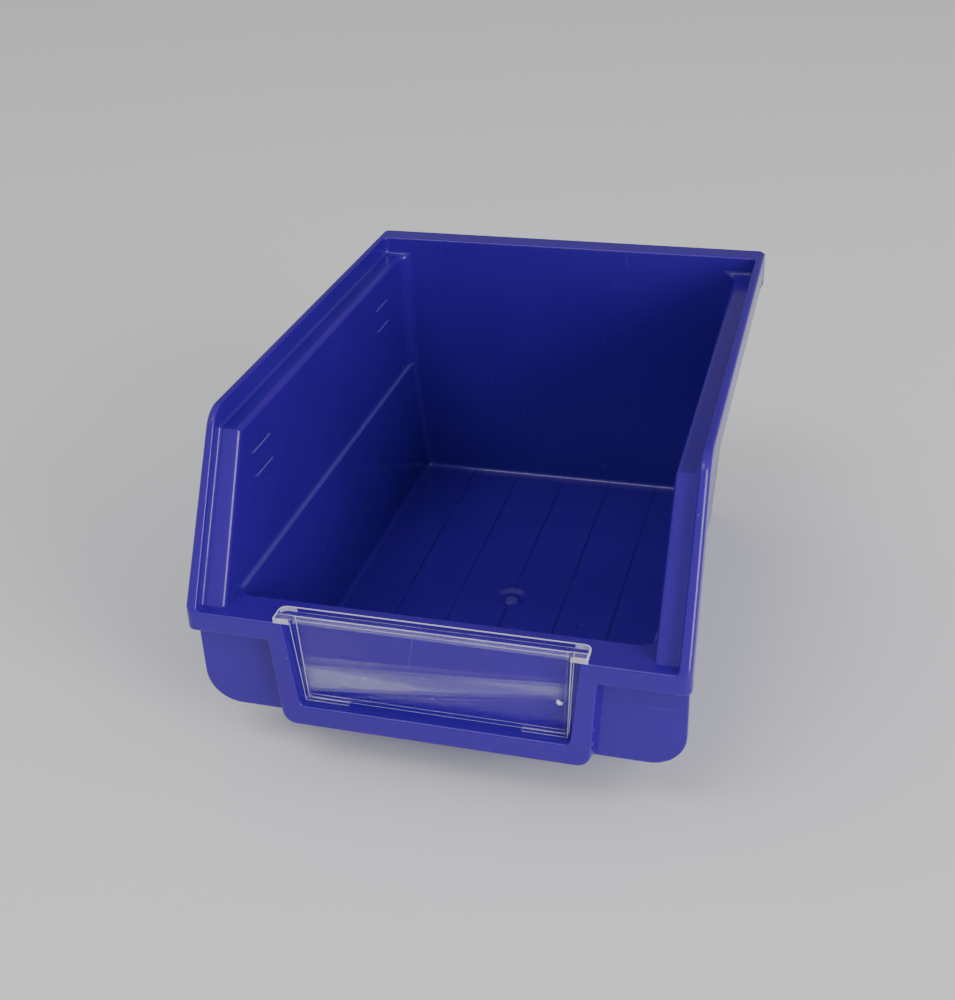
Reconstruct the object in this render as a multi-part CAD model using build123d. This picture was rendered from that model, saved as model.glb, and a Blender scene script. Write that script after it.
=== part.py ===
from build123d import *
import math
import os

# Hanging parts bin, millimetres. +Z up, the front faces -Y, X runs across the bin.
# The origin is on the surface the bin stands on, midway across and midway along the bin.

# Overall size
LENGTH = 136.0
HEIGHT = 75.0
RIM_HALF_WIDTH = 51.6            # outer half width at the top of the rim
LIP_HALF_WIDTH = 52.2            # outer half width at the front lip
REAR = LENGTH / 2
FRONT = -LENGTH / 2

# Rim seen from the side: level from the back, then down to the front lip
RIM_BEND_Y = -47.2
RIM_BEND_RADIUS = 6.5
LIP_TOP = 38.4
LIP_FACE_HEIGHT = 4.6
LIP_DEPTH = 9.0
LIP_BACK_ROUNDING = 0.8
RIM_EDGE_RADIUS = 1.2
CORNER_RADIUS = 1.8

# Stepped ledge inside the side rims
LEDGE_DROP = 4.6
LEDGE_DROP_ON_SLOPE = 2.6
LEDGE_OUTER_HALF_WIDTH = 49.6
LEDGE_INNER_HALF_WIDTH = 44.8
LEDGE_EDGE_RADIUS = 1.2
LEDGE_COVE_RADIUS = 0.8          # where a ledge meets the raised rim and the back
LEDGE_CORNER_RADIUS = 1.5        # upright corners above the ledges
SHEET = 2.0                      # wall, floor, ledge and apron thickness
SOFT_EDGE = 0.5                  # rounding on the ordinary moulded edges

# Inside of the tub
BACK_WALL_INNER = REAR - 6.6
FLOOR_TOP = 6.0
FLOOR_HALF_WIDTH = 40.8
STEP_HALF_WIDTH_BELOW = 43.5     # small step in the side walls, level with the front lip
STEP_HALF_WIDTH_ABOVE = 44.4
FLOOR_FRONT_SETBACK = 11.0       # how far the front wall leans in from the lip to the floor
UPPER_CORNER_RADIUS = 3.0        # corners of the tub above the step
LOWER_CORNER_RADIUS = 1.6        # and below it
FLOOR_EDGE_RADIUS = 1.4

# Hook flange along the top of the back
HOOK_GAP = 3.0
HOOK_LEG_THICKNESS = REAR - BACK_WALL_INNER - SHEET - HOOK_GAP
HOOK_LEG_HEIGHT = 12.0
HOOK_CORNER_RADIUS = 4.0

# Front apron and the label frame on it
APRON_SETBACK = 3.7
APRON_HALF_WIDTH = 51.5
APRON_BOTTOM = 13.3
APRON_CORNER_RADIUS = 7.5
FRAME_BOTTOM = 12.9
FRAME_HALF_WIDTH_TOP = 34.2
FRAME_HALF_WIDTH_BOTTOM = 32.6
FRAME_ROOT_FLARE = 1.3           # how much wider the frame is where it meets the apron
FRAME_CORNER_RADIUS = 3.0
POCKET_BOTTOM = 17.9
POCKET_HALF_WIDTH_TOP = 30.7
POCKET_HALF_WIDTH_BOTTOM = 28.7
POCKET_CORNER_RADIUS = 1.4

# Underside
FOOT_HEIGHT = 3.8
UNDER_RIB_THICKNESS = 1.2
UNDER_RIB_PITCH = 13.15
UNDER_RIB_COUNT = 5

# Moulding marks
GATE_Y = -1.3
GATE_RADIUS = 4.0                # shallow dished recess in the floor
GATE_DEPTH = 0.7
GATE_DOME_RADIUS = 2.7           # low dome in the middle of it
GATE_DOME_PROUD = 0.5            # how far the dome stands above the floor
MARK_LENGTH = 9.0
MARK_WIDTH = 0.7
MARK_PROUD = 0.4
MARK_HEIGHTS = (HEIGHT - 11.6, HEIGHT - 17.3)
MARK_PLACES = (REAR - 26.6, REAR - 106.6)

# Clear label cover
COVER_THICKNESS = 1.2
COVER_CLEARANCE = 0.05           # between the cover's flange and the lip it sits on
COVER_TOP = LIP_TOP + COVER_CLEARANCE + COVER_THICKNESS
COVER_FLANGE_HALF_WIDTH = 32.4
COVER_FLANGE_REAR = FRONT + 4.8
COVER_FLANGE_RADIUS = 1.6
COVER_FOLD_RADIUS = 1.8
COVER_PANE_TOP_Y = FRONT + 0.4   # front face of the pane at the fold
COVER_PANE_FOOT_Y = FRONT + 1.9  # and at its foot
COVER_PANE_HALF_WIDTH_TOP = 29.2
COVER_PANE_HALF_WIDTH_BOTTOM = 28.0
COVER_BOTTOM = POCKET_BOTTOM + 1.3
COVER_FOOT_LENGTH = 9.5
COVER_FOOT_BOTTOM = POCKET_BOTTOM + 0.3
COVER_SIDE_THICKNESS = 0.8
COVER_EAR_OVERLAP = 0.6          # how far the flange's ends run into the folded sheet
COVER_SIDE_REAR = FRONT + APRON_SETBACK - 0.2

# Angles and points worked out from the sizes above
SLOPE = math.atan2(HEIGHT - LIP_TOP, RIM_BEND_Y - FRONT)
FRONT_WALL_LEAN = FLOOR_FRONT_SETBACK / (LIP_TOP - FLOOR_TOP)
LIP_BACK = FRONT + LIP_DEPTH
APRON_FACE = FRONT + APRON_SETBACK
BACK_WALL_OUTER = BACK_WALL_INNER + SHEET
OVERSHOOT = 5.0                  # how far cutting solids run past the bin


def below_slope(drop, height):
    """Depth position at a height, on the line a given distance under the sloping rim."""
    start_y = RIM_BEND_Y + drop * math.sin(SLOPE)
    start_z = HEIGHT - drop * math.cos(SLOPE)
    return start_y - (start_z - height) / math.tan(SLOPE)


def side_prism(points, half_width):
    """Solid with the given (y, z) outline, running across the bin."""
    outline = make_face(Plane.YZ * Polyline(*points, close=True))
    return extrude(outline, half_width, both=True)


def depth_prism(points, front_y, rear_y):
    """Solid with the given (x, z) outline, running along the bin."""
    plane = Plane(origin=(0, rear_y, 0), x_dir=(1, 0, 0), z_dir=(0, -1, 0))
    outline = make_face(plane * Polyline(*points, close=True))
    return extrude(outline, rear_y - front_y)


def trapezoid(half_low, half_high, low, high):
    """Symmetric (x, z) outline that changes width evenly from its low to its high side."""
    return [(-half_low, low), (half_low, low), (half_high, high), (-half_high, high)]


def block(x_range, y_range, z_range):
    """Box between two limits on each axis."""
    size = [high - low for low, high in (x_range, y_range, z_range)]
    middle = [(high + low) / 2 for low, high in (x_range, y_range, z_range)]
    return Pos(*middle) * Box(*size)


def near(value, target, margin=0.01):
    """Whether two lengths are the same."""
    return abs(value - target) < margin


def edges_where(solid, test):
    """Edges of a solid that pass a test of their middle point and their direction there."""
    return [edge for edge in solid.edges() if test(edge @ 0.5, edge % 0.5)]


def upright_edges(solid, y_low=-math.inf, y_high=math.inf):
    """Edges that run mostly upwards, with their middle in a range of depth."""
    return edges_where(solid, lambda p, d: abs(d.Z) > 0.9 and y_low < p.Y < y_high)


def rim_flange():
    """Level and sloping rim with its ledge, as one band that still has to be hollowed."""
    ledge_bottom = HEIGHT - LEDGE_DROP - SHEET
    slope_drop = LEDGE_DROP_ON_SLOPE + SHEET
    lip_bottom = LIP_TOP - LIP_FACE_HEIGHT
    outline = [
        (REAR, HEIGHT),
        (RIM_BEND_Y, HEIGHT),
        (FRONT, LIP_TOP),
        (FRONT, lip_bottom),
        (APRON_FACE, lip_bottom),
        (APRON_FACE, LIP_TOP - SHEET),
        (below_slope(slope_drop, ledge_bottom), ledge_bottom),
        (BACK_WALL_OUTER, ledge_bottom),
        (BACK_WALL_OUTER, HEIGHT - SHEET),
        (REAR, HEIGHT - SHEET),
    ]
    band = side_prism(outline, LIP_HALF_WIDTH + OVERSHOOT)
    spread = (LIP_HALF_WIDTH - RIM_HALF_WIDTH) / (HEIGHT - LIP_TOP)
    low = LIP_TOP - LIP_FACE_HEIGHT - OVERSHOOT
    half_low = LIP_HALF_WIDTH + spread * (LIP_TOP - low)
    band &= depth_prism(trapezoid(half_low, RIM_HALF_WIDTH, low, HEIGHT), FRONT, REAR)
    band = fillet(edges_where(band, lambda p, d: near(p.Y, RIM_BEND_Y) and near(p.Z, HEIGHT)),
                  RIM_BEND_RADIUS)
    band = fillet(upright_edges(band, FRONT - 0.1, FRONT + 0.1)
                  + upright_edges(band, REAR - 0.1, REAR + 0.1), CORNER_RADIUS)
    band = fillet(edges_where(band, on_rim_top), RIM_EDGE_RADIUS)
    return fillet(edges_where(band, on_rim_skirt), SOFT_EDGE)


def on_rim_top(point, direction):
    """Whether an edge is part of the closed chain round the top of the rim."""
    on_top = point.Z > rim_height(point.Y) - RIM_BEND_RADIUS / 4
    across = abs(direction.X) > 0.99
    return on_top and (not across or near(abs(point.Y), REAR, 0.1))


def on_rim_skirt(point, direction):
    """Whether an edge is at the foot of the lip face or of the rims' outer faces."""
    outside = abs(point.X) > RIM_HALF_WIDTH - 0.01
    lip_foot = near(point.Y, FRONT) and near(point.Z, LIP_TOP - LIP_FACE_HEIGHT)
    under = point.Z < rim_height(point.Y) - SHEET
    return lip_foot or (outside and under and abs(direction.X) < 0.9 and point.Y < BACK_WALL_OUTER)


def rim_height(y):
    """Height of the rim, without its rounded bend, at a depth position."""
    return min(HEIGHT, LIP_TOP + (y - FRONT) * math.tan(SLOPE))


def tub_shell():
    """Outside of the walls and floor, solid right through."""
    reach = LEDGE_DROP + SHEET / 2
    ledge_middle = HEIGHT - reach
    slope_drop = LEDGE_DROP_ON_SLOPE + SHEET / 2
    lip_middle = LIP_TOP - SHEET / 2
    wall_slant = SHEET * math.hypot(1, FRONT_WALL_LEAN)
    front_wall_top = LIP_BACK - wall_slant + (LIP_TOP - lip_middle) * FRONT_WALL_LEAN
    front_wall_foot = front_wall_top + lip_middle * FRONT_WALL_LEAN
    outline = [
        (BACK_WALL_OUTER, 0),
        (BACK_WALL_OUTER, ledge_middle),
        (below_slope(slope_drop, ledge_middle), ledge_middle),
        (below_slope(slope_drop, lip_middle), lip_middle),
        (front_wall_top, lip_middle),
        (front_wall_foot, 0),
    ]
    side_lean = (LEDGE_INNER_HALF_WIDTH - FLOOR_HALF_WIDTH) / (HEIGHT - LEDGE_DROP - FLOOR_TOP)
    half_low = FLOOR_HALF_WIDTH + SHEET - FLOOR_TOP * side_lean
    half_high = half_low + HEIGHT * side_lean
    shell = side_prism(outline, LIP_HALF_WIDTH)
    shell &= depth_prism(trapezoid(half_low, half_high, 0, HEIGHT), FRONT, BACK_WALL_OUTER)
    shell = fillet(upright_edges(shell), LOWER_CORNER_RADIUS + SHEET)
    return fillet(shell.faces().sort_by(Axis.Z)[0].edges(), 2 * SOFT_EDGE)


def lower_hollow():
    """Space inside the tub from the floor up to the level of the front lip."""
    outline = [
        (BACK_WALL_INNER, FLOOR_TOP),
        (BACK_WALL_INNER, LIP_TOP),
        (LIP_BACK, LIP_TOP),
        (LIP_BACK + FLOOR_FRONT_SETBACK, FLOOR_TOP),
    ]
    hollow = side_prism(outline, LIP_HALF_WIDTH)
    sides = trapezoid(FLOOR_HALF_WIDTH, STEP_HALF_WIDTH_BELOW, FLOOR_TOP, LIP_TOP)
    hollow &= depth_prism(sides, FRONT, REAR)
    hollow = fillet(upright_edges(hollow), LOWER_CORNER_RADIUS)
    floor_edges = hollow.faces().sort_by(Axis.Z)[0].edges()
    return fillet(floor_edges, FLOOR_EDGE_RADIUS)


def upper_hollow():
    """Space between the side walls above the front lip, open to the front."""
    top = HEIGHT - LEDGE_DROP + OVERSHOOT
    lean = (LEDGE_INNER_HALF_WIDTH - STEP_HALF_WIDTH_ABOVE) / (HEIGHT - LEDGE_DROP - LIP_TOP)
    half_top = STEP_HALF_WIDTH_ABOVE + lean * (top - LIP_TOP)
    sides = trapezoid(STEP_HALF_WIDTH_ABOVE, half_top, LIP_TOP, top)
    hollow = depth_prism(sides, FRONT - OVERSHOOT, BACK_WALL_INNER)
    return fillet(upright_edges(hollow, 0), UPPER_CORNER_RADIUS)


def ledge_hollow():
    """Space above the stepped ledges, between the raised side rims."""
    ledge = HEIGHT - LEDGE_DROP
    over = HEIGHT + OVERSHOOT
    outline = [
        (BACK_WALL_INNER, ledge),
        (BACK_WALL_INNER, over),
        (FRONT - OVERSHOOT, over),
        (FRONT - OVERSHOOT, LIP_TOP),
        (below_slope(LEDGE_DROP_ON_SLOPE, LIP_TOP), LIP_TOP),
        (below_slope(LEDGE_DROP_ON_SLOPE, ledge), ledge),
    ]
    hollow = side_prism(outline, LEDGE_OUTER_HALF_WIDTH)
    hollow = fillet(upright_edges(hollow, 0), LEDGE_CORNER_RADIUS)
    return fillet(edges_where(hollow, on_ledge_cove), LEDGE_COVE_RADIUS)


def on_ledge_cove(point, direction):
    """Whether an edge is where a ledge meets the raised rim beside it or the back behind it."""
    low = point.Z < HEIGHT - LEDGE_DROP + 0.01
    at_side = near(abs(point.X), LEDGE_OUTER_HALF_WIDTH) and point.Y > FRONT - OVERSHOOT
    at_back = point.Y > BACK_WALL_INNER - LEDGE_CORNER_RADIUS
    return low and (at_side or at_back)


def on_ledge_edge(point, direction):
    """Whether an edge is the inner edge of a ledge, level or sloping."""
    inner = near(abs(point.X), LEDGE_INNER_HALF_WIDTH, 1.2)
    level = near(point.Z, HEIGHT - LEDGE_DROP)
    slope_y = below_slope(LEDGE_DROP_ON_SLOPE, point.Z)
    sloping = LIP_TOP + 0.1 < point.Z and near(point.Y, slope_y, 0.05)
    return inner and (level or sloping)


def on_back_rim(point, direction):
    """Whether an edge is the inner top edge of the back wall."""
    return near(point.Z, HEIGHT) and near(point.Y, BACK_WALL_INNER)


def on_pocket_rim(point, direction):
    """Whether an edge is where the label pocket meets the face of its frame."""
    inside = abs(point.X) < POCKET_HALF_WIDTH_TOP + 0.1
    return inside and near(point.Y, FRONT) and POCKET_BOTTOM - 0.1 < point.Z < LIP_TOP - 1


def hook_leg():
    """Downturned flange at the rear that drops behind the tongues of a louvred panel."""
    leg = block((-RIM_HALF_WIDTH, RIM_HALF_WIDTH), (REAR - HOOK_LEG_THICKNESS, REAR),
                (HEIGHT - HOOK_LEG_HEIGHT, HEIGHT - SHEET / 2))
    leg = fillet(leg.edges().filter_by(Axis.Y).group_by(Axis.Z)[0], HOOK_CORNER_RADIUS)
    low_edges = edges_where(leg, lambda p, d: p.Z < HEIGHT - 2 * SHEET and abs(d.Y) < 0.9)
    return fillet(low_edges, SOFT_EDGE)


def apron():
    """Flat plate that hangs from the front lip, in front of the leaning front wall."""
    top = LIP_TOP + SHEET
    plate = block((-APRON_HALF_WIDTH, APRON_HALF_WIDTH), (APRON_FACE, APRON_FACE + SHEET),
                  (APRON_BOTTOM, top))
    plate = fillet(plate.edges().filter_by(Axis.Y).group_by(Axis.Z)[0], APRON_CORNER_RADIUS)
    low_edges = edges_where(plate, lambda p, d: p.Z < top - 0.1 and abs(d.Y) < 0.9)
    return fillet(low_edges, SOFT_EDGE)


def front_lip():
    """Flat top of the front wall."""
    half = STEP_HALF_WIDTH_BELOW + SHEET / 2
    return block((-half, half), (FRONT + RIM_EDGE_RADIUS, LIP_BACK + SHEET / 2),
                 (LIP_TOP - SHEET, LIP_TOP))


def lip_back_rounding():
    """What is taken off the inner edge of the front lip to round it."""
    edge = Vector(0, LIP_BACK, LIP_TOP)
    down_wall = Vector(0, FRONT_WALL_LEAN, -1).normalized()
    on_lip = edge - Vector(0, LIP_BACK_ROUNDING, 0)
    on_wall = edge + down_wall * LIP_BACK_ROUNDING
    curve = TangentArc(on_lip, on_wall, tangent=(0, 1, 0))
    outline = Wire([curve, Line(on_wall, edge), Line(edge, on_lip)])
    half = STEP_HALF_WIDTH_BELOW - LOWER_CORNER_RADIUS
    return extrude(Face(outline), half, dir=(1, 0, 0), both=True)


def label_frame():
    """U-shaped frame proud of the apron, with flared sides."""
    top = LIP_TOP - LIP_FACE_HEIGHT / 2
    face = trapezoid(FRAME_HALF_WIDTH_BOTTOM, FRAME_HALF_WIDTH_TOP, FRAME_BOTTOM, top)
    root = trapezoid(FRAME_HALF_WIDTH_BOTTOM + FRAME_ROOT_FLARE,
                     FRAME_HALF_WIDTH_TOP + FRAME_ROOT_FLARE, FRAME_BOTTOM, top)
    sections = []
    for outline, y in ((face, FRONT), (root, APRON_FACE + SHEET / 2)):
        plane = Plane(origin=(0, y, 0), x_dir=(1, 0, 0), z_dir=(0, -1, 0))
        sketch = make_face(plane * Polyline(*outline, close=True))
        sections.append(fillet(sketch.vertices().group_by(Axis.Z)[0], FRAME_CORNER_RADIUS))
    frame = loft(sections)
    face_edges = edges_where(frame, lambda p, d: near(p.Y, FRONT) and p.Z < top - 0.1)
    return fillet(face_edges, SOFT_EDGE)


def label_pocket():
    """Recess for the label and its cover, open at the top of the lip."""
    half_over = POCKET_HALF_WIDTH_TOP + OVERSHOOT * (
        POCKET_HALF_WIDTH_TOP - POCKET_HALF_WIDTH_BOTTOM) / (LIP_TOP - POCKET_BOTTOM)
    outline = trapezoid(POCKET_HALF_WIDTH_BOTTOM, half_over, POCKET_BOTTOM, LIP_TOP + OVERSHOOT)
    pocket = depth_prism(outline, FRONT - OVERSHOOT, APRON_FACE)
    low_corners = pocket.edges().filter_by(Axis.Y).group_by(Axis.Z)[0]
    return fillet(low_corners, POCKET_CORNER_RADIUS)


def underside():
    """Hollow under the floor, less the ribs that stiffen it."""
    half = FLOOR_HALF_WIDTH - SHEET / 2
    front = LIP_BACK + FLOOR_FRONT_SETBACK + SHEET / 2
    rear = BACK_WALL_INNER - SHEET / 2
    hollow = block((-half, half), (front, rear), (-OVERSHOOT, FOOT_HEIGHT))
    for place in range(UNDER_RIB_COUNT):
        middle = (place - (UNDER_RIB_COUNT - 1) / 2) * UNDER_RIB_PITCH
        rib_half = UNDER_RIB_THICKNESS / 2
        hollow -= block((middle - rib_half, middle + rib_half), (front, rear), (0, FOOT_HEIGHT))
    return hollow


def side_marks():
    """Short raised lines on the insides of the side walls."""
    lean = (LEDGE_INNER_HALF_WIDTH - STEP_HALF_WIDTH_ABOVE) / (HEIGHT - LEDGE_DROP - LIP_TOP)
    marks = []
    for side in (-1, 1):
        for height in MARK_HEIGHTS:
            wall = STEP_HALF_WIDTH_ABOVE + lean * (height - LIP_TOP)
            x_range = sorted((side * (wall - MARK_PROUD), side * (wall + SHEET / 2)))
            for place in MARK_PLACES:
                marks.append(block(x_range, (place - MARK_LENGTH / 2, place + MARK_LENGTH / 2),
                                   (height - MARK_WIDTH / 2, height + MARK_WIDTH / 2)))
    return marks


def make_bin_body():
    """The whole bin, moulded in one piece."""
    body = rim_flange() + tub_shell() + front_lip() + hook_leg() + apron() + label_frame()
    body -= lower_hollow()
    body -= upper_hollow()
    body -= ledge_hollow()
    body = fillet(edges_where(body, on_ledge_edge), LEDGE_EDGE_RADIUS)
    body = fillet(edges_where(body, on_back_rim), SOFT_EDGE)
    body -= lip_back_rounding()
    body -= label_pocket()
    body = fillet(edges_where(body, on_pocket_rim), SOFT_EDGE)
    body -= underside()
    for mark in side_marks():
        body += mark
    body -= gate_ball(GATE_RADIUS, GATE_DEPTH, FLOOR_TOP, -1)
    dome = gate_ball(GATE_DOME_RADIUS, GATE_DEPTH + GATE_DOME_PROUD, FLOOR_TOP - GATE_DEPTH, 1)
    reach = 2 * GATE_RADIUS
    dome &= block((-reach, reach), (GATE_Y - reach, GATE_Y + reach),
                  (FLOOR_TOP - SHEET / 2, FLOOR_TOP + reach))
    return body + dome


def gate_ball(half_width, rise, height, side):
    """Ball at the gate mark, as wide as asked at a height and a little taller or deeper there."""
    radius = (half_width ** 2 + rise ** 2) / (2 * rise)
    return Pos(0, GATE_Y, height + side * (rise - radius)) * Sphere(radius)


def make_label_cover():
    """Clear cover: a flange on the lip, folded down into a pane in the label pocket."""
    top = COVER_TOP
    lean = (COVER_PANE_FOOT_Y - COVER_PANE_TOP_Y) / (top - COVER_FOOT_BOTTOM)
    sheet = COVER_THICKNESS
    flange_bottom = top - sheet
    inside_fold_y = COVER_PANE_TOP_Y + sheet + lean * sheet
    folded = side_prism([
        (COVER_FLANGE_REAR - COVER_EAR_OVERLAP, top),
        (COVER_PANE_TOP_Y, top),
        (COVER_PANE_FOOT_Y, COVER_FOOT_BOTTOM),
        (COVER_PANE_FOOT_Y + sheet, COVER_FOOT_BOTTOM),
        (inside_fold_y, flange_bottom),
        (COVER_FLANGE_REAR - COVER_EAR_OVERLAP, flange_bottom),
    ], COVER_FLANGE_HALF_WIDTH)
    fold = edges_where(folded, lambda p, d: near(p.Y, COVER_PANE_TOP_Y) and abs(d.X) > 0.99)
    folded = fillet(fold, COVER_FOLD_RADIUS)
    pane_sides = trapezoid(COVER_PANE_HALF_WIDTH_BOTTOM, COVER_PANE_HALF_WIDTH_TOP,
                           COVER_FOOT_BOTTOM, top)
    folded &= depth_prism(pane_sides, FRONT - OVERSHOOT, COVER_FLANGE_REAR)

    side_walls = side_prism([
        (COVER_PANE_TOP_Y + sheet / 2, flange_bottom + sheet / 2),
        (COVER_PANE_FOOT_Y + sheet / 2, COVER_FOOT_BOTTOM),
        (COVER_SIDE_REAR, COVER_FOOT_BOTTOM),
        (COVER_SIDE_REAR, flange_bottom + sheet / 2),
    ], COVER_FLANGE_HALF_WIDTH)
    side_walls &= depth_prism(pane_sides, FRONT, COVER_FLANGE_REAR)
    side_walls -= depth_prism(trapezoid(COVER_PANE_HALF_WIDTH_BOTTOM - COVER_SIDE_THICKNESS,
                                        COVER_PANE_HALF_WIDTH_TOP - COVER_SIDE_THICKNESS,
                                        COVER_FOOT_BOTTOM, top), FRONT, COVER_FLANGE_REAR)

    flange = block((-COVER_FLANGE_HALF_WIDTH, COVER_FLANGE_HALF_WIDTH),
                   (FRONT, COVER_FLANGE_REAR), (flange_bottom, top))
    flange = fillet(upright_edges(flange, COVER_FLANGE_REAR - 0.1), COVER_FLANGE_RADIUS)
    between_ears = COVER_PANE_HALF_WIDTH_TOP - COVER_EAR_OVERLAP
    flange -= block((-between_ears, between_ears),
                    (FRONT - OVERSHOOT, COVER_PANE_TOP_Y + COVER_FOLD_RADIUS + COVER_EAR_OVERLAP),
                    (0, HEIGHT))

    foot_start = COVER_PANE_HALF_WIDTH_BOTTOM - COVER_FOOT_LENGTH
    between_feet = block((-foot_start, foot_start), (FRONT, LIP_BACK),
                         (POCKET_BOTTOM - OVERSHOOT, COVER_BOTTOM))
    return folded + side_walls + flange - between_feet


def write_part(shape, name):
    """Save one piece under its node name."""
    shape.label = name
    export_step(shape, f"parts/{name}.step")


os.makedirs("parts", exist_ok=True)
write_part(make_bin_body(), "bin_body")
write_part(make_label_cover(), "label_cover")
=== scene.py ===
import math

import bmesh
import bpy
from mathutils import Matrix, Vector


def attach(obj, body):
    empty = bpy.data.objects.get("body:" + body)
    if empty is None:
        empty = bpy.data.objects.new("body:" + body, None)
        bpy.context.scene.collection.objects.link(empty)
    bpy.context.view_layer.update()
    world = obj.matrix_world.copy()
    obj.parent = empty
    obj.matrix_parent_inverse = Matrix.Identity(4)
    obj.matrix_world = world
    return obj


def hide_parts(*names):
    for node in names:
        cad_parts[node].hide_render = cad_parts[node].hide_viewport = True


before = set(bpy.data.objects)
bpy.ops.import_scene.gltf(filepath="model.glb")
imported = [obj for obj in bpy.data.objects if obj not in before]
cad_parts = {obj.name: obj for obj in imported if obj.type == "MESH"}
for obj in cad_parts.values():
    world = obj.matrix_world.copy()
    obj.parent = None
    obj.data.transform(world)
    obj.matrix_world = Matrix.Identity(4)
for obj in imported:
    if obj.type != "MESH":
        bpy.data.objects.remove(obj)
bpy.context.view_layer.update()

# The hanging parts bin, in metres. +Z up, the low open front faces -Y.
MM = 0.001
BODY = "bin_body"
COVER = "label_cover"

# Camera: place and axes. Its sensor lies along the longer side of the frame.
CAMERA_PLACE = Vector((0.07307, -0.27805, 0.19613))
CAMERA_RIGHT = Vector((0.96444, 0.26217, -0.03338))
CAMERA_DOWN = Vector((0.10133, -0.48347, -0.86948))
CAMERA_FORWARD = Vector((-0.24409, 0.83518, -0.49284))
LENS_MM = 49.62
SENSOR_MM = 36.0

# Places on the bin that its material refers to
FLOOR_TOP = 6.0 * MM
RIB_PITCH = 13.15 * MM
RIB_COUNT = 5
RIBS_END = RIB_COUNT / 2 * RIB_PITCH
LIP_TOP = 38.4 * MM
FRONT = -68.0 * MM
STEP_FRONT = -58.0 * MM
STEP_INNER = 43.0 * MM
STEP_OUTER = 44.9 * MM
MARK_HEIGHTS = (63.4 * MM, 57.7 * MM)
MARK_PLACES = (41.4 * MM, -38.6 * MM)
MARK_HALF_LENGTH = 4.6 * MM
MARKS_OUTER = 45.6 * MM
# Scuffs on the label frame: places in millimetres, and how far each one reaches
SCUFFS = (((-34.9, -66.2, 31.0), 2.2), ((34.7, -67.4, 33.0), 1.2), ((34.0, -67.4, 22.0), 1.0),
          ((33.6, -67.4, 18.5), 0.9))

# The label cover's own sizes and marks, which its edges and its material refer to
COVER_EDGE_ROUNDING = 0.30 * MM
COVER_TOP = 39.65 * MM
COVER_BOTTOM = 19.2 * MM
COVER_FOOT = 18.2 * MM
COVER_FOOT_START = 18.5 * MM
COVER_FLANGE_REAR = -63.2 * MM
COVER_FLANGE_HALF_WIDTH = 32.4 * MM
COVER_FLANGE_RADIUS = 1.6 * MM
COVER_PANE_HALF_WIDTH_TOP = 29.2 * MM
COVER_PANE_HALF_WIDTH_BOTTOM = 28.0 * MM
COVER_EAR_START = 29.4 * MM
COVER_INNER_SIDE = 0.95 * MM
FOLD_HIGHLIGHT_LOW = 38.3 * MM
FOLD_HIGHLIGHT_DEPTH = 1.8 * MM
# Painted reflection bands: low edge and high edge in millimetres at the cover's middle, and
# weight
REFLECTION_BANDS = ((30.2, 30.9, 0.50), (24.7, 29.2, 1.0), (22.4, 22.9, 0.40))
BAND_MIDDLE = 27.0 * MM
BAND_TILT = 0.11
BAND_NARROWING = 11.7    # share of the width lost per metre towards +X
# Lines along the flange: distance behind the front and half width in millimetres, and weight
FLANGE_LINES = ((3.1, 0.12, 0.35), (1.75, 0.16, 0.60))
COVER_GATE = (26.5, -67.0, 27.4)    # in millimetres
CLEAREST = 0.02    # how solid the cover is where it has no haze

# Colours
BLUE_DEEP = (0.030, 0.0002, 0.258, 1)
BLUE_LIGHT = (0.034, 0.0004, 0.284, 1)
BLUE_DUST = (0.42, 0.42, 0.62, 1)
BLUE_SCRATCH = (0.22, 0.21, 0.60, 1)
# Paler edges: partly wear, partly painted highlight
BLUE_WORN_AND_HIGHLIGHT = (0.10, 0.08, 0.48, 1)
# Painted highlight on the step in the side walls and on the tops of the side marks
BLUE_PAINTED_HIGHLIGHT = (0.22, 0.19, 0.62, 1)
BLUE_SCUFF = (0.40, 0.40, 0.72, 1)
BLUE_RIB = (0.006, 0.0006, 0.07, 1)
# Colour of the cover's haze and of its painted highlights and reflection bands
CLEAR_HAZE_AND_HIGHLIGHT = (0.84, 0.82, 0.99, 1)
FLOOR_DARK = (0.87, 0.87, 0.862, 1)
FLOOR_LIGHT = (0.90, 0.90, 0.892, 1)
SKY = (0.95, 0.97, 1.0, 1)
WINDOW_LIGHT = (1.0, 0.99, 0.975)
OVERHEAD_LIGHT = (1.0, 1.0, 1.0)

# Studio: the world is brightest in front of the bin and dimmest behind it
FLOOR_HALF = 4.0
SKY_IN_FRONT = 0.70
SKY_BEHIND = 0.24
LIGHTS_MIDDLE = Vector((0, 0, 0.04))
LIGHTS_DISTANCE = 1.3

# Sockets of a Mix node that mixes colours
MIX_FIRST = 6
MIX_SECOND = 7
MIX_RESULT = 2


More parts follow.
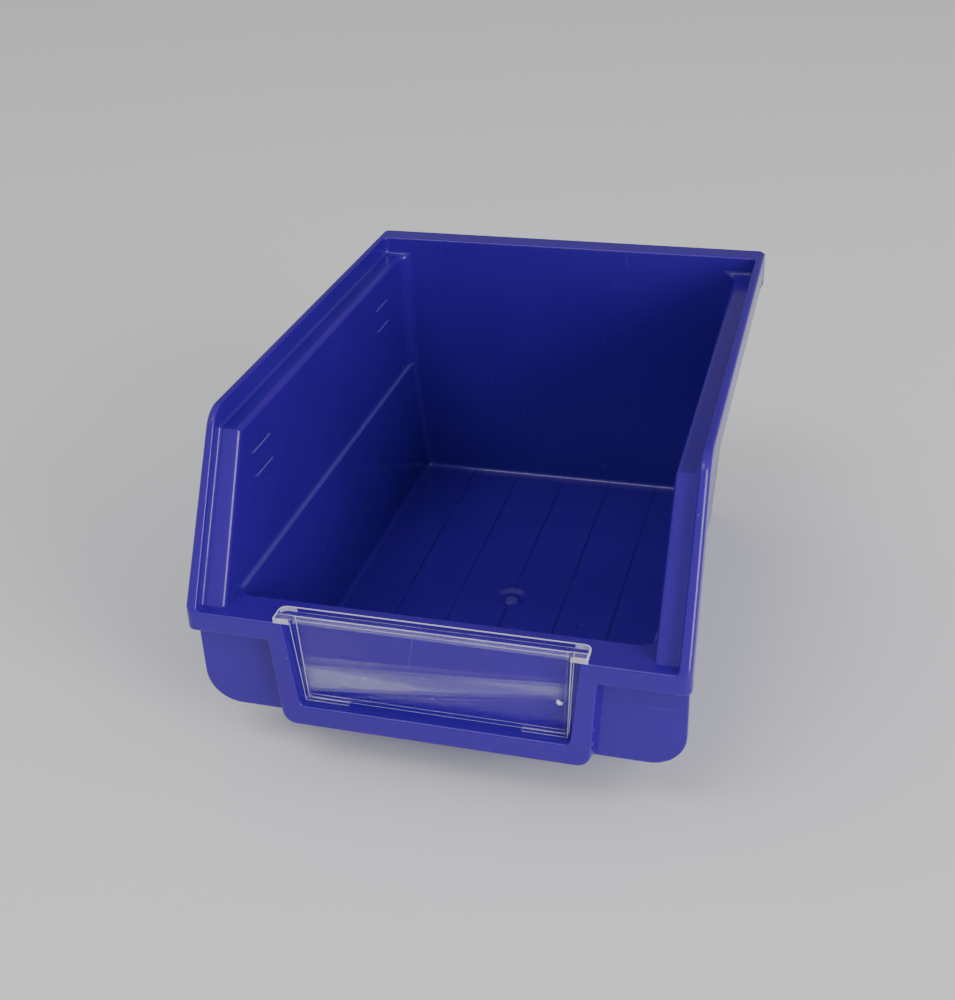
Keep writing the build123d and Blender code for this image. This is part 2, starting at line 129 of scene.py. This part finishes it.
class Graph:
    """Short calls for building the node tree of one material."""

    def __init__(self, name):
        self.material = bpy.data.materials.new(name)
        self.material.use_nodes = True
        self.tree = self.material.node_tree
        self.tree.nodes.clear()
        coordinates = self.add("TexCoord")
        self.point = coordinates.outputs["Object"]
        self.normal = coordinates.outputs["Normal"]

    def add(self, kind, inputs=None, **settings):
        node = self.tree.nodes.new("ShaderNode" + kind)
        for name, value in settings.items():
            setattr(node, name, value)
        for name, value in (inputs or {}).items():
            self.put(node.inputs[name], value)
        return node

    def put(self, socket, value):
        if isinstance(value, bpy.types.NodeSocket):
            self.tree.links.new(value, socket)
        else:
            socket.default_value = value

    def math(self, operation, *values, clamp=False):
        node = self.add("Math", operation=operation, use_clamp=clamp)
        for socket, value in zip(node.inputs, values):
            self.put(socket, value)
        return node.outputs[0]

    def split(self, vector):
        return self.add("SeparateXYZ", {"Vector": vector}).outputs

    def rise(self, value, low, high, start=0.0, end=1.0):
        """Smooth change from start to end as the value goes from low to high."""
        node = self.add("MapRange", {"Value": value, "From Min": low, "From Max": high,
                                     "To Min": start, "To Max": end},
                        interpolation_type="SMOOTHSTEP")
        return node.outputs["Result"]

    def product(self, *values):
        result = values[0]
        for value in values[1:]:
            result = self.math("MULTIPLY", result, value)
        return result

    def total(self, *values):
        result = values[0]
        for value in values[1:]:
            result = self.math("ADD", result, value)
        return result

    def noise(self, scale, detail=2.0, roughness=0.5, vector=None, distortion=0.0):
        node = self.add("TexNoise", {"Vector": vector or self.point, "Scale": scale,
                                     "Detail": detail, "Roughness": roughness,
                                     "Distortion": distortion})
        return node.outputs["Fac"]

    def noise_colour(self, scale):
        node = self.add("TexNoise", {"Vector": self.point, "Scale": scale, "Detail": 1.0})
        return node.outputs["Color"]

    def mapped(self, scale, turn=(0, 0, 0)):
        node = self.add("Mapping", {"Vector": self.point, "Rotation": turn, "Scale": scale})
        return node.outputs["Vector"]

    def mix(self, share, first, second):
        node = self.add("Mix", data_type="RGBA")
        self.put(node.inputs["Factor"], share)
        self.put(node.inputs[MIX_FIRST], first)
        self.put(node.inputs[MIX_SECOND], second)
        return node.outputs[MIX_RESULT]

    def near_point(self, place, inner, outer):
        """1 within the inner distance of a place, falling to 0 at the outer one."""
        away = self.add("VectorMath", {0: self.point, 1: place}, operation="DISTANCE")
        return self.rise(away.outputs["Value"], inner, outer, 1.0, 0.0)

    def scratches(self, scale, share, length, width):
        """Short fine lines, one at most in each cell of a random grid.

        A line is where the surface meets a thin disc that stands at a random angle in the cell.
        """
        wavy = self.add("VectorMath", {0: self.noise_colour(scale * 1.5), 1: (0.06 / scale,) * 3},
                        operation="MULTIPLY").outputs["Vector"]
        bent = self.add("VectorMath", {0: self.point, 1: wavy}, operation="ADD").outputs["Vector"]
        cells = self.add("TexVoronoi", {"Vector": bent, "Scale": scale})
        colour = cells.outputs["Color"]
        chosen = self.math("LESS_THAN", self.split(colour)[1], share)
        tilt = self.add("VectorMath", {0: colour, 1: (0.5, 0.5, 0.5)}, operation="SUBTRACT")
        axis = self.add("VectorMath", {0: tilt.outputs["Vector"]}, operation="NORMALIZE")
        offset = self.add("VectorMath", {0: bent, 1: cells.outputs["Position"]},
                          operation="SUBTRACT")
        from_disc = self.add("VectorMath", {0: offset.outputs["Vector"],
                                            1: axis.outputs["Vector"]}, operation="DOT_PRODUCT")
        thin = self.rise(self.math("ABSOLUTE", from_disc.outputs["Value"]),
                         width * 0.3, width, 1.0, 0.0)
        away = self.add("VectorMath", {0: offset.outputs["Vector"]}, operation="LENGTH")
        short = self.rise(away.outputs["Value"], length * 0.3, length, 1.0, 0.0)
        return self.product(thin, short, chosen)

    def specks(self, scale, share, size):
        """Small round dots in a share of the cells of a random grid."""
        cells = self.add("TexVoronoi", {"Vector": self.point, "Scale": scale})
        chosen = self.math("LESS_THAN", self.split(cells.outputs["Color"])[0], share)
        dot = self.rise(cells.outputs["Distance"], size * 0.5, size, 1.0, 0.0)
        return self.product(dot, chosen)

    def bump(self, height, depth, normal=None):
        """Normal bent by a height in units of the given depth, in metres."""
        inputs = {"Height": height, "Distance": depth, "Strength": 1.0}
        if normal is not None:
            inputs["Normal"] = normal
        return self.add("Bump", inputs).outputs["Normal"]

    def finish(self, **inputs):
        """The finished material, from the shader's inputs with _ for each space."""
        shader = self.add("BsdfPrincipled")
        for name, value in inputs.items():
            self.put(shader.inputs[name.replace("_", " ")], value)
        output = self.add("OutputMaterial")
        self.tree.links.new(shader.outputs[0], output.inputs["Surface"])
        return self.material


def blue_plastic():
    """Semi-gloss moulded polypropylene with dust, fine scratches, scuffs and rib read-through."""
    g = Graph("blue_polypropylene")
    x, y, z = g.split(g.point)
    facing_up = g.rise(g.split(g.normal)[2], 0.35, 0.9)

    # Colour: slow mottling from the moulding
    cloud = g.noise(30, 2.0, 0.5)
    base = g.mix(g.rise(cloud, 0.3, 0.7), BLUE_DEEP, BLUE_LIGHT)

    # Dust specks, thickest where the surface faces up, and fine scratches
    dust = g.total(g.product(g.specks(260, 0.10, 0.055), 0.55),
                   g.product(g.specks(520, 0.06, 0.085), facing_up, 0.45))
    scratches = g.total(g.scratches(75, 0.35, 6.0 * MM, 0.05 * MM),
                        g.scratches(130, 0.30, 3.5 * MM, 0.04 * MM))
    base = g.mix(g.math("MULTIPLY", dust, 0.4, clamp=True), base, BLUE_DUST)
    base = g.mix(g.math("MULTIPLY", scratches, 0.10, clamp=True), base, BLUE_SCRATCH)

    # Rubbed edges, partly real wear and partly a painted highlight where light catches them,
    # found from how far the surface turns within a short distance
    rounded = g.add("Bevel", {"Radius": 0.45 * MM}, samples=4).outputs["Normal"]
    plain = g.add("NewGeometry").outputs["Normal"]
    bend = g.add("VectorMath", {0: rounded, 1: plain}, operation="DOT_PRODUCT")
    edge = g.rise(bend.outputs["Value"], 0.985, 0.80, 0.0, 1.0)
    wear_and_highlight = g.product(edge, g.rise(g.noise(380, 3.0, 0.6), 0.46, 0.70))
    base = g.mix(g.math("MULTIPLY", wear_and_highlight, 0.30, clamp=True), base, BLUE_WORN_AND_HIGHLIGHT)

    # Painted highlight: the top of the step in the side walls and the lit tops of the raised side
    # marks are painted paler than the walls
    across = g.math("ABSOLUTE", x)
    to_step = g.math("ABSOLUTE", g.math("SUBTRACT", z, LIP_TOP))
    step = g.product(g.rise(to_step, 0.05 * MM, 0.22 * MM, 1.0, 0.0),
                     g.rise(across, STEP_INNER, STEP_INNER + 0.3 * MM),
                     g.rise(across, STEP_OUTER - 0.3 * MM, STEP_OUTER, 1.0, 0.0),
                     g.rise(y, STEP_FRONT, STEP_FRONT + 2 * MM))
    marks_here = 0.0
    for height in MARK_HEIGHTS:
        to_mark = g.math("ABSOLUTE", g.math("SUBTRACT", z, height))
        marks_here = g.math("ADD", g.rise(to_mark, 0.15 * MM, 0.34 * MM, 1.0, 0.0), marks_here)
    along = 0.0
    for place in MARK_PLACES:
        to_mark = g.math("ABSOLUTE", g.math("SUBTRACT", y, place))
        along = g.math("ADD", g.rise(to_mark, MARK_HALF_LENGTH - 0.3 * MM, MARK_HALF_LENGTH,
                                     1.0, 0.0), along)
    inside = g.rise(across, MARKS_OUTER - 0.4 * MM, MARKS_OUTER, 1.0, 0.0)
    painted_highlight = g.math("ADD", g.product(step, 0.34), g.product(marks_here, along, inside, 0.45),
                    clamp=True)
    base = g.mix(painted_highlight, base, BLUE_PAINTED_HIGHLIGHT)

    # Scuffs along the flanks of the label frame
    grit = g.rise(g.noise(1100, 4.0, 0.75), 0.50, 0.60)
    scuffs = 0.0
    for place, reach in SCUFFS:
        spot = g.near_point([c * MM for c in place], 0.2 * MM, reach * MM)
        scuffs = g.math("ADD", g.product(spot, grit), scuffs)
    base = g.mix(g.math("MULTIPLY", scuffs, 0.6, clamp=True), base, BLUE_SCUFF)

    # Read-through of the ribs under the floor
    on_floor = g.product(g.rise(z, FLOOR_TOP + 0.2 * MM, FLOOR_TOP + 0.8 * MM, 1.0, 0.0),
                         g.rise(z, FLOOR_TOP - 0.3 * MM, FLOOR_TOP - 0.1 * MM), facing_up)
    turns = g.math("ADD", g.math("DIVIDE", x, RIB_PITCH), 0.5)
    to_rib = g.math("MULTIPLY", RIB_PITCH,
                    g.math("ABSOLUTE", g.math("SUBTRACT", g.math("FRACT", turns), 0.5)))
    reach = g.rise(across, RIBS_END - 2 * MM, RIBS_END, 1.0, 0.0)
    sink = g.product(g.rise(to_rib, 0.05 * MM, 0.45 * MM, 1.0, 0.0), on_floor, reach)
    broken = g.rise(g.noise(35, 2.0, 0.5), 0.35, 0.6, 0.45, 1.0)
    base = g.mix(g.product(sink, broken, 0.55), base, BLUE_RIB)

    # Relief: rib sinks, slow waviness of the sheet, orange peel, fine grain, scratches
    waviness = g.bump(g.noise(38, 2.0, 0.5), 0.05 * MM)
    sinks = g.bump(g.math("SUBTRACT", 1.0, sink), 0.04 * MM, normal=waviness)
    peel = g.bump(g.noise(520, 3.0, 0.55), 0.0035 * MM, normal=sinks)
    grain = g.bump(g.noise(2600, 2.0, 0.5), 0.0010 * MM, normal=peel)
    marks = g.math("SUBTRACT", g.math("MULTIPLY", scuffs, 0.6), scratches)
    surface = g.bump(marks, 0.008 * MM, normal=grain)

    roughness = g.total(g.rise(g.noise(60, 3.0, 0.5), 0.3, 0.7, 0.17, 0.22),
                        g.product(scratches, 0.15), g.product(wear_and_highlight, 0.12),
                        g.product(scuffs, 0.30), g.product(dust, 0.3))
    return g.finish(Base_Color=base, Roughness=roughness, Normal=surface, IOR=1.49,
                    Specular_IOR_Level=0.44)


def clear_plastic():
    """Clear moulded polystyrene: painted reflection bands, painted highlights along its moulded
    edges, handling scratches.
    """
    g = Graph("clear_polystyrene")
    x, y, z = g.split(g.point)
    facing = g.split(g.normal)
    across = g.math("ABSOLUTE", x)
    forwards = g.rise(facing[1], -0.4, -0.2, 1.0, 0.0)
    upwards = g.rise(facing[2], 0.2, 0.4)
    on_pane = g.product(g.rise(z, LIP_TOP - 1.2 * MM, LIP_TOP - 0.8 * MM, 1.0, 0.0), forwards)
    scratches = g.total(g.scratches(110, 0.6, 5.0 * MM, 0.04 * MM),
                        g.scratches(170, 0.5, 3.0 * MM, 0.035 * MM))
    dust = g.specks(420, 0.10, 0.07)

    # Painted reflection bands across the pane, tilted and narrowing towards +X, with fine streaks
    # in them
    slow = g.noise(24, 2.0, 0.5, g.mapped((1.0, 0.2, 0.25)))
    sway = g.math("MULTIPLY", g.math("SUBTRACT", slow, 0.5), 1.0 * MM)
    level = g.total(z, sway, g.math("MULTIPLY", x, -BAND_TILT), -BAND_MIDDLE)
    spread = g.math("SUBTRACT", 1.0, g.math("MULTIPLY", x, BAND_NARROWING))
    level = g.math("ADD", g.math("DIVIDE", level, spread), BAND_MIDDLE)
    reflection_bands = 0.0
    for low, high, weight in REFLECTION_BANDS:
        foot = g.rise(level, (low - 0.25) * MM, low * MM)
        head = g.rise(level, high * MM, (high + 0.12) * MM, 1.0, 0.0)
        reflection_bands = g.math("ADD", g.product(foot, head, weight), reflection_bands)
    fine = g.mapped((0.04, 1.0, 1.0), (0, math.radians(2), 0))
    streaks = g.rise(g.noise(330, 2.0, 0.6, fine), 0.40, 0.56, 0.70, 1.0)
    ends = g.rise(across, 25 * MM, 28.5 * MM, 1.0, 0.45)
    reflection_bands = g.product(reflection_bands, streaks, ends, on_pane)

    # Painted highlights and glints on the flange's rim and ears, and paler lines along the flange
    corner = COVER_FLANGE_RADIUS
    past_x = g.math("MAXIMUM", g.math("SUBTRACT", across, COVER_FLANGE_HALF_WIDTH - corner), 0.0)
    past_y = g.math("MAXIMUM", g.math("SUBTRACT", y, COVER_FLANGE_REAR - corner), 0.0)
    out = g.math("SQRT", g.total(g.product(past_x, past_x), g.product(past_y, past_y)))
    rim = g.rise(out, corner - 0.42 * MM, corner - 0.22 * MM)
    glints = g.rise(g.noise(800, 3.0, 0.6), 0.40, 0.60, 0.35, 1.0)
    ear = g.product(g.rise(across, COVER_EAR_START, COVER_EAR_START + 0.2 * MM), forwards, glints,
                    g.rise(z, LIP_TOP - 0.2 * MM, LIP_TOP))
    on_top = g.rise(z, COVER_TOP - 0.40 * MM, COVER_TOP - 0.20 * MM)
    flange = g.math("MAXIMUM", g.product(rim, on_top, 0.85), g.product(ear, 0.6))
    from_front = g.math("SUBTRACT", y, FRONT)
    for place, half_width, weight in FLANGE_LINES:
        off = g.math("ABSOLUTE", g.math("SUBTRACT", from_front, place * MM))
        line = g.rise(off, half_width * 0.4 * MM, half_width * MM, 1.0, 0.0)
        patchy = g.rise(g.noise(90, 2.0, 0.5), 0.35, 0.60, 0.5, 1.0)
        flange = g.math("MAXIMUM", flange, g.product(line, patchy, upwards, weight))
    # Painted highlight along the rounded fold at the top of the pane
    fold_depth = g.rise(from_front, FOLD_HIGHLIGHT_DEPTH - 0.3 * MM, FOLD_HIGHLIGHT_DEPTH, 1.0, 0.0)
    fold_highlight = g.product(g.rise(z, FOLD_HIGHLIGHT_LOW - 0.15 * MM, FOLD_HIGHLIGHT_LOW),
                             fold_depth, upwards, 0.17)

    # Painted highlights on the pane's tapered sides, its bottom edge and the feet below it
    taper = (COVER_PANE_HALF_WIDTH_TOP - COVER_PANE_HALF_WIDTH_BOTTOM) / (COVER_TOP - COVER_FOOT)
    half = g.total(g.product(z, taper), COVER_PANE_HALF_WIDTH_TOP - COVER_TOP * taper)
    to_side = g.math("SUBTRACT", half, across)
    side = g.product(g.rise(to_side, 0.14 * MM, 0.26 * MM, 1.0, 0.0), forwards, 0.46)
    inner_side = g.math("ABSOLUTE", g.math("SUBTRACT", to_side, COVER_INNER_SIDE))
    inner_side = g.product(g.rise(inner_side, 0.04 * MM, 0.13 * MM, 1.0, 0.0), forwards, 0.11)
    bottom = g.rise(z, COVER_BOTTOM + 0.12 * MM, COVER_BOTTOM + 0.25 * MM, 1.0, 0.0)
    hollow = g.rise(z, COVER_FOOT + 0.3 * MM, COVER_FOOT + 0.45 * MM)
    on_foot = g.rise(across, COVER_FOOT_START, COVER_FOOT_START + 0.3 * MM)
    below = g.rise(z, COVER_BOTTOM, COVER_BOTTOM - 0.2 * MM)
    foot_line = g.math("SUBTRACT", 1.0, g.product(on_foot, hollow, below))
    bottom = g.product(bottom, foot_line, forwards, 0.27)
    edges = flange
    for part in (side, inner_side, bottom):
        edges = g.math("MAXIMUM", edges, part)
    gate = g.product(g.near_point([c * MM for c in COVER_GATE], 0.3 * MM, 1.0 * MM),
                     g.rise(g.noise(900, 3.0, 0.7), 0.42, 0.52))

    # Relief: slow waves over the pane, orange peel, scratches and the gate mark
    waves = g.product(g.noise(75, 1.5, 0.45, g.mapped((0.35, 1.0, 1.6)), 0.6), on_pane)
    wavy = g.bump(waves, 0.025 * MM)
    peel = g.bump(g.noise(420, 2.0, 0.5), 0.003 * MM, normal=wavy)
    surface = g.bump(g.math("SUBTRACT", gate, scratches), 0.006 * MM, normal=peel)
    roughness = g.total(g.rise(g.noise(140, 3.0, 0.6), 0.35, 0.75, 0.03, 0.06),
                        g.product(scratches, 0.25), g.product(dust, 0.4), g.product(edges, 0.2))

    # Haze from scratches, dust and the gate mark, together with the painted reflection bands and
    # highlights, makes the clear plastic both more solid and less transmitting
    haze_and_painted_light = g.total(g.product(reflection_bands, 0.15), fold_highlight,
                   g.product(scratches, 0.04), g.product(dust, 0.4), edges)
    haze_and_painted_light = g.math("ADD", haze_and_painted_light, g.product(gate, 0.9), clamp=True)
    clear = g.math("SUBTRACT", 1.0, g.math("MULTIPLY", haze_and_painted_light, 3.0, clamp=True))
    solid = g.math("ADD", haze_and_painted_light, CLEAREST, clamp=True)
    return g.finish(Base_Color=CLEAR_HAZE_AND_HIGHLIGHT, Roughness=roughness, Normal=surface,
                    IOR=1.50, Transmission_Weight=clear, Alpha=solid)


def pale_floor():
    """Matt pale grey studio floor with a very slight unevenness."""
    g = Graph("pale_floor")
    base = g.mix(g.noise(3.0, 3.0, 0.5), FLOOR_DARK, FLOOR_LIGHT)
    surface = g.bump(g.noise(300, 3.0, 0.6), 0.02 * MM)
    return g.finish(Base_Color=base, Roughness=0.62, Normal=surface, IOR=1.45)


def give_material(piece, material):
    piece.data.materials.clear()
    piece.data.materials.append(material)


def make_cover():
    """Label cover with softened edges, worked up from the CAD cover's own faces."""
    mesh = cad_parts[COVER].data.copy()
    mesh.name = "clear_cover"
    cover = bpy.data.objects.new("clear_cover", mesh)
    bpy.context.scene.collection.objects.link(cover)
    shape = bmesh.new()
    shape.from_mesh(mesh)
    bmesh.ops.remove_doubles(shape, verts=shape.verts, dist=0.003 * MM)
    bmesh.ops.dissolve_limit(shape, angle_limit=math.radians(0.4), verts=shape.verts,
                             edges=shape.edges)
    sharp = [e for e in shape.edges if e.calc_face_angle(0) > math.radians(40)]
    bmesh.ops.bevel(shape, geom=sharp, offset=COVER_EDGE_ROUNDING, offset_type="OFFSET",
                    segments=3, profile=0.5, affect="EDGES", clamp_overlap=True)
    bmesh.ops.triangulate(shape, faces=[f for f in shape.faces if len(f.verts) > 4])
    for face in shape.faces:
        face.smooth = True
    shape.to_mesh(mesh)
    shape.free()
    mesh.set_sharp_from_angle(angle=math.radians(35))
    give_material(cover, clear_plastic())
    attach(cover, "cover")
    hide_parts(COVER)


def make_floor():
    corners = [(-1, -1), (1, -1), (1, 1), (-1, 1)]
    mesh = bpy.data.meshes.new("studio_floor")
    mesh.from_pydata([(x * FLOOR_HALF, y * FLOOR_HALF, 0) for x, y in corners],
                     [], [(0, 1, 2, 3)])
    floor = bpy.data.objects.new("studio_floor", mesh)
    bpy.context.scene.collection.objects.link(floor)
    give_material(floor, pale_floor())


def make_camera():
    data = bpy.data.cameras.new("camera")
    data.sensor_width = SENSOR_MM
    data.lens = LENS_MM
    data.clip_start = 0.01
    camera = bpy.data.objects.new("camera", data)
    bpy.context.scene.collection.objects.link(camera)
    axes = Matrix((CAMERA_RIGHT, -CAMERA_DOWN, -CAMERA_FORWARD)).transposed()
    camera.matrix_world = Matrix.Translation(CAMERA_PLACE) @ axes.to_4x4()
    bpy.context.scene.camera = camera


def make_area_light(name, direction, width, height, power, colour):
    """Rectangular soft light that faces the bin from a direction."""
    data = bpy.data.lights.new(name, "AREA")
    data.shape = "RECTANGLE"
    data.size = width
    data.size_y = height
    data.energy = power
    data.color = colour
    light = bpy.data.objects.new(name, data)
    bpy.context.scene.collection.objects.link(light)
    towards = Vector(direction).normalized()
    light.location = LIGHTS_MIDDLE + towards * LIGHTS_DISTANCE
    light.rotation_mode = "QUATERNION"
    light.rotation_quaternion = (-towards).to_track_quat("-Z", "Y")


def make_world():
    """World light that dims smoothly from the bin's front to its rear."""
    world = bpy.data.worlds.new("studio")
    world.use_nodes = True
    tree = world.node_tree
    direction = tree.nodes.new("ShaderNodeTexCoord").outputs["Generated"]
    axes = tree.nodes.new("ShaderNodeSeparateXYZ")
    backwards = tree.nodes.new("ShaderNodeMapRange")
    backwards.interpolation_type = "SMOOTHSTEP"
    for name, value in (("From Min", 0.2), ("From Max", 0.8),
                        ("To Min", SKY_IN_FRONT), ("To Max", SKY_BEHIND)):
        backwards.inputs[name].default_value = value
    background = tree.nodes["Background"]
    background.inputs["Color"].default_value = SKY
    tree.links.new(direction, axes.inputs["Vector"])
    tree.links.new(axes.outputs["Y"], backwards.inputs["Value"])
    tree.links.new(backwards.outputs["Result"], background.inputs["Strength"])
    bpy.context.scene.world = world


give_material(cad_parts[BODY], blue_plastic())
make_cover()
make_floor()
make_camera()
make_world()
make_area_light("side_window", (0.80, -0.54, 0.34), 0.60, 0.60, 10.8, WINDOW_LIGHT)
make_area_light("overhead_front", (-0.22, -0.50, 0.84), 0.55, 0.45, 3.4, OVERHEAD_LIGHT)
